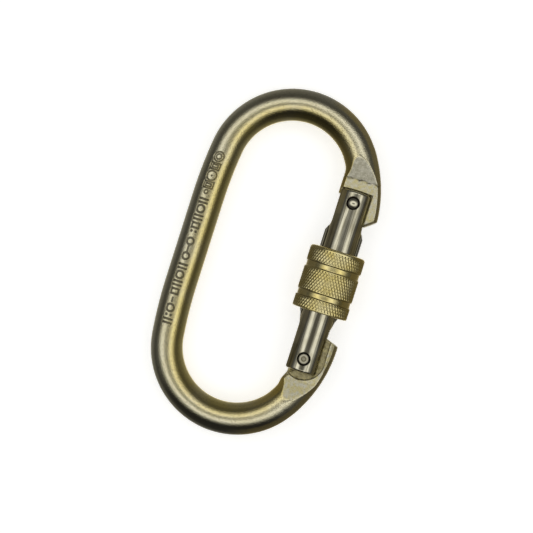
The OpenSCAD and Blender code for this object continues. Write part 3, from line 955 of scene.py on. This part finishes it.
def nickelPlatedSteel(name, smooth, rough, streak, headY=None, dimple=0.0):
    # Bright nickel plate over turned steel: mirror-like, with fine drawing lines along the gate. A pin's
    # head gets painted shade round its rim, where it sits in its countersink, and in its dimple.
    made, tree = newFinish(name)
    place = addNode(tree, "TexCoord").outputs["Object"]
    along = addNode(tree, "Mapping", {"Scale": (1.0, 1 / nickel["lineStretch"], 1.0)},
                    {"Vector": place})
    lines = addNode(tree, "TexNoise", {"Scale": perMetre(nickel["lineSize"]), "Detail": 2.0},
                    {"Vector": along}).outputs["Fac"]
    patches = addNode(tree, "TexNoise", {"Scale": perMetre(nickel["patchSize"]), "Detail": 3.0},
                      {"Vector": place}).outputs["Fac"]
    worn, paintedShade = (addNode(tree, "Attribute", {"attribute_name": kind}).outputs["Fac"]
                   for kind in ("worn", "paintedShade"))
    if headY is not None:
        c, s = math.cos(ring["lean"]), math.sin(ring["lean"])
        across = addNode(tree, "VectorMath", {"operation": "DOT_PRODUCT", 1: (c, 0, s)},
                         {0: place}).outputs["Value"]
        up = addNode(tree, "SeparateXYZ", None, {"Vector": place}).outputs["Y"]
        flat = addNode(tree, "CombineXYZ", None, {"X": across, "Y": up})
        middle = ((ring["gateX"] + ring["lift"] * s) * mm, headY * mm, 0)
        away = addNode(tree, "VectorMath", {"operation": "DISTANCE", 1: middle},
                       {0: flat}).outputs["Value"]
        rim = {"From Min": nickel["rimR"] * mm, "From Max": nickel["rimFullR"] * mm,
               "To Max": nickel["rimShade"]}
        spot = {"From Min": nickel["dimpleFull"] * nickel["dimpleR"] * mm,
                "From Max": nickel["dimpleR"] * mm, "To Min": dimple, "To Max": 0.0}
        rim, spot = (addNode(tree, "MapRange", settings, {"Value": away})
                     for settings in (rim, spot))
        paintedShade = addNode(tree, "Math", {"operation": "MAXIMUM"}, {0: rim, 1: spot})
    soft = addNode(tree, "MapRange", nickel["softRange"], {"Value": patches})
    dull = addNode(tree, "Math", {"operation": "MULTIPLY_ADD", 1: nickel["wornShare"]},
                   {0: worn, 2: lines})
    dull = addNode(tree, "MapRange", {**nickel["lineRange"], "To Max": streak},
                   {"Value": dull})
    settings = {"data_type": "RGBA", 6: linear(nickel["bright"]), 7: linear(nickel["soft"])}
    colour = addNode(tree, "Mix", settings, {0: soft}).outputs[2]
    for over, cover in (("line", dull), ("paintedShade", paintedShade)):
        colour = addNode(tree, "Mix", {"data_type": "RGBA", 7: linear(nickel[over])},
                         {0: cover, 6: colour}).outputs[2]
    rough = addNode(tree, "MapRange", {**nickel["roughRange"], "To Min": smooth, "To Max": rough},
                    {"Value": lines})
    scratch = addNode(tree, "Bump", {"Strength": streak, "Distance": nickel["lineDepth"] * mm},
                      {"Height": lines})
    shader = addNode(tree, "BsdfPrincipled", {"Metallic": 1.0},
                     {"Base Color": colour, "Roughness": rough, "Normal": scratch})
    addNode(tree, "OutputMaterial", None, {"Surface": shader})
    return made


def dress(made, finish):
    made.data.materials.clear()
    made.data.materials.append(finish)


print("plating")
dress(ringPiece, zincPlatedSteelYellow())
dress(sleevePiece, zincPlatedSteelSleeve())
dress(gatePiece, nickelPlatedSteel("nickelPlatedGateSteel", *nickel["gate"]))
dress(springPiece, nickelPlatedSteel("drawnSpringWire", *nickel["wire"]))
finishes = {
    "hinge_rivet": nickelPlatedSteel("nickelPlatedRivetHead", *nickel["rivet"], ring["rivetY"],
                                     nickel["dimpleShare"]),
    "latch_pin": nickelPlatedSteel("nickelPlatedLatchPin", *nickel["latch"], ring["latchY"]),
    "spring_plunger": nickelPlatedSteel("nickelPlatedPinSteel", *nickel["pin"]),
}
for node, finish in finishes.items():
    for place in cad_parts[node].material_slots:
        place.material = finish


# A soft box overhead, brightest about 33 degrees off the camera, and shut off where the camera hides it
# and at its ends, with the dark room below it.
studio = {
    # (degrees from straight up, brightness)
    "sky": [(0, 0.22), (9, 0.28), (19, 0.65), (29, 1.4), (39, 1.4), (48, 0.8), (58, 0.28), (68, 0.08),
            (90, 0.1)],
    # (how far along the ring the ray points, share of the sky's brightness), the two limits first
    "ends": [(-1, 0.15), (1, 0.65), (-0.72, 0.15), (-0.54, 1.0), (0.56, 1.0), (0.72, 0.65)],
    "squeeze": 2.0,  # how much narrower the box is along the ring than across it
    "across": 0.9,
    "along": 0.9,  # how much brighter it gets along the ring
    "floorHalf": 3.0,  # metres
    "floorColour": "#EDEDEB",
    "floorGlow": 0.62,
    "lens": 100,
    "sensor": 36,
    "distance": 0.4556,
    "lookAt": (0.000175, -0.001273, 0.007),
    "turn": 17.6,
}

# Black card on edge round the inside and the outside of the ring, in millimetres. It is seen only in the
# metal, for dark crisp sides: a painted reflection, as the card is hidden from the camera, shadows and
# diffuse light and glows by itself.
card = {
    "gap": 8.2,  # from the bar's centreline
    "rise": 4.6,  # above it
    "foot": 0.2,
    "standBack": 6.5,  # how much further off and higher the inner one is, to clear the sleeve
    "standUp": 2.0,
    "backX": (8.0, 8.0),  # where it starts to stand back, and over how far
    "backY": (34.0, 12.0),
    "hinge": 0.14,  # a little light reaches the card at one end
    "nose": 0.03,
    "footGlow": 0.32,  # light off the floor at the card's foot
    "glowHeight": 9.0,
    "warmX": (4.0, 12.0),  # light off the sleeve
    "warmLift": 0.05,
    "warm": "#FFF0C4",
}

print("lighting")
world = bpy.data.worlds.new("softBox")
bpy.context.scene.world = world
world.use_nodes = True
tree = world.node_tree
tree.nodes.clear()
ray = addNode(tree, "SeparateXYZ", None,
              {"Vector": addNode(tree, "TexCoord").outputs["Generated"]})
squeezed = addNode(tree, "Math", {"operation": "MULTIPLY", 1: studio["squeeze"]},
                   {0: ray.outputs["Y"]})
tall = addNode(tree, "CombineXYZ", None,
               {"X": ray.outputs["X"], "Y": squeezed, "Z": ray.outputs["Z"]})
tall = addNode(tree, "VectorMath", {"operation": "NORMALIZE"}, {0: tall})
tall = addNode(tree, "SeparateXYZ", None, {"Vector": tall})
sky = addNode(tree, "ValToRGB", None, {"Fac": tall.outputs["Z"]})
steps = sky.color_ramp.elements
for degrees, level in reversed(studio["sky"]):
    at = max(0.0, math.cos(math.radians(degrees)))
    step = steps[0] if degrees == 90 else steps[-1] if degrees == 0 else steps.new(at)
    step.color = (level / 2, level / 2, level / 2, 1)  # halved here and doubled below: a ramp stops at 1
steps[0].position = 0.0
steps[-1].position = 1.0
squared = addNode(tree, "Math", {"operation": "MULTIPLY"}, {0: ray.outputs["Y"], 1: ray.outputs["Y"]})
spread = addNode(tree, "Math", {"operation": "MULTIPLY_ADD", 1: 2 * studio["along"],
                                          2: 2 * studio["across"]}, {0: squared})
lit = addNode(tree, "Math", {"operation": "MULTIPLY"},
              {0: sky.outputs["Color"], 1: spread})
half = addNode(tree, "Math", {"operation": "MULTIPLY_ADD", 1: 0.5, 2: 0.5}, {0: ray.outputs["Y"]})
ends = addNode(tree, "ValToRGB", None, {"Fac": half})
steps = ends.color_ramp.elements
for at, level in studio["ends"]:
    step = steps[0] if at == -1 else steps[1] if at == 1 else steps.new(at / 2 + 0.5)
    step.color = (level, level, level, 1)
lit = addNode(tree, "Math", {"operation": "MULTIPLY"}, {0: ends.outputs["Color"], 1: lit})
lightPath = addNode(tree, "LightPath")
seen = addNode(tree, "Mix", {"data_type": "FLOAT", 3: 1.0},
               {0: lightPath.outputs["Is Camera Ray"], 2: lit})
glow = addNode(tree, "Background", {"Color": linear("#FFFFFF")}, {"Strength": seen})
addNode(tree, "OutputWorld", None, {"Surface": glow})


def ringLoop(offset):
    # Points along the ring's centreline, moved out by an offset.
    top = []
    for (atX, atY), r, fromDeg, toDeg, count in reversed(ringArcs):
        for turn in np.linspace(fromDeg, toDeg, count):
            top.append((atX + (r + offset) * math.cos(math.radians(turn)),
                        atY + (r + offset) * math.sin(math.radians(turn))))
    return top + [(x, -y) for x, y in reversed(top)]


def blackCard():
    made, tree = newFinish("blackCard")
    # Painted reflection: the card's own faint glow, brighter at the hinge end, at its foot and warm near
    # the sleeve.
    facing = addNode(tree, "NewGeometry").outputs["Normal"]
    facing = addNode(tree, "SeparateXYZ", None, {"Vector": facing}).outputs["Y"]
    level = addNode(tree, "MapRange", {"From Min": -1.0, "To Min": card["hinge"], "To Max": card["nose"]},
                    {"Value": facing})
    place = addNode(tree, "SeparateXYZ", None,
                    {"Vector": addNode(tree, "TexCoord").outputs["Object"]})
    foot = addNode(tree, "MapRange",
                   {"From Max": card["glowHeight"] * mm, "To Min": card["footGlow"], "To Max": 0.0},
                   {"Value": place.outputs["Z"]})
    level = addNode(tree, "Math", {"operation": "ADD"}, {0: level, 1: foot})
    warm = addNode(tree, "MapRange",
                   {"From Min": card["warmX"][0] * mm, "From Max": card["warmX"][1] * mm},
                   {"Value": place.outputs["X"]})
    level = addNode(tree, "Math", {"operation": "MULTIPLY_ADD", 1: card["warmLift"]},
                    {0: warm, 2: level})
    settings = {"data_type": "RGBA", 6: linear("#FFFFFF"), 7: linear(card["warm"])}
    tint = addNode(tree, "Mix", settings, {0: warm}).outputs[2]
    shader = addNode(tree, "Emission", None, {"Color": tint, "Strength": level})
    addNode(tree, "OutputMaterial", None, {"Surface": shader})
    return made


def blackFlags():
    points, faces = [], []
    middle, outside = np.array(ringLoop(0)), np.array(ringLoop(1))
    back = np.clip((middle[:, 0] - card["backX"][0]) / card["backX"][1], 0, 1)
    back = back * np.clip((card["backY"][0] - np.abs(middle[:, 1])) / card["backY"][1], 0, 1)
    heights = ringToWorld(np.column_stack([middle, np.zeros(len(middle))]))[:, 2]
    heights += (card["rise"] + card["standUp"] * back) * mm
    for gap in (np.full(len(middle), card["gap"]), -card["gap"] - card["standBack"] * back):
        loop = (middle + (outside - middle) * gap[:, None]) * mm
        first = len(points)
        for (x, y), top in zip(loop, heights):
            points += [(x, y, card["foot"] * mm), (x, y, top)]
        for i in range(len(loop)):
            a, b = first + 2 * i, first + 2 * ((i + 1) % len(loop))
            faces.append((a, b, b + 1, a + 1))
    mesh = bpy.data.meshes.new("blackFlags")
    mesh.from_pydata(points, [], faces)
    made = addObject("blackFlags", mesh)
    made.visible_camera = made.visible_diffuse = made.visible_shadow = made.visible_transmission = False
    dress(made, blackCard())


blackFlags()

floorMesh = bpy.data.meshes.new("floor")
e = studio["floorHalf"]
floorMesh.from_pydata([(-e, -e, 0), (e, -e, 0), (e, e, 0), (-e, e, 0)], [], [(0, 1, 2, 3)])
floor = addObject("floor", floorMesh)
paper, tree = newFinish("palePaper")
lightPath = addNode(tree, "LightPath")
seen = lightPath.outputs["Is Camera Ray"]
for kind in ("Is Glossy Ray", "Is Transmission Ray"):
    seen = addNode(tree, "Math", {"operation": "MAXIMUM"},
                   {0: seen, 1: lightPath.outputs[kind]})
strength = addNode(tree, "Math", {"operation": "MULTIPLY", 1: studio["floorGlow"]}, {0: seen})
settings = {"Base Color": linear(studio["floorColour"]), "Roughness": 0.9,
            "Emission Color": linear("#FFFFFF")}
paperShader = addNode(tree, "BsdfPrincipled", settings, {"Emission Strength": strength})
addNode(tree, "OutputMaterial", None, {"Surface": paperShader})
dress(floor, paper)

lens = bpy.data.cameras.new("photoCamera")
lens.lens = studio["lens"]
lens.sensor_width = studio["sensor"]
camera = addObject("photoCamera", lens)
atX, atY, atZ = studio["lookAt"]
camera.location = (atX, atY, atZ + studio["distance"])
camera.rotation_euler = (0, 0, math.radians(studio["turn"]))
bpy.context.scene.camera = camera
bpy.context.scene.view_settings.view_transform = "Standard"

print("ring", len(ringPiece.data.polygons), "gate", len(gatePiece.data.polygons),
      "sleeve", 2 * len(sleeveMesh.polygons), "triangles")
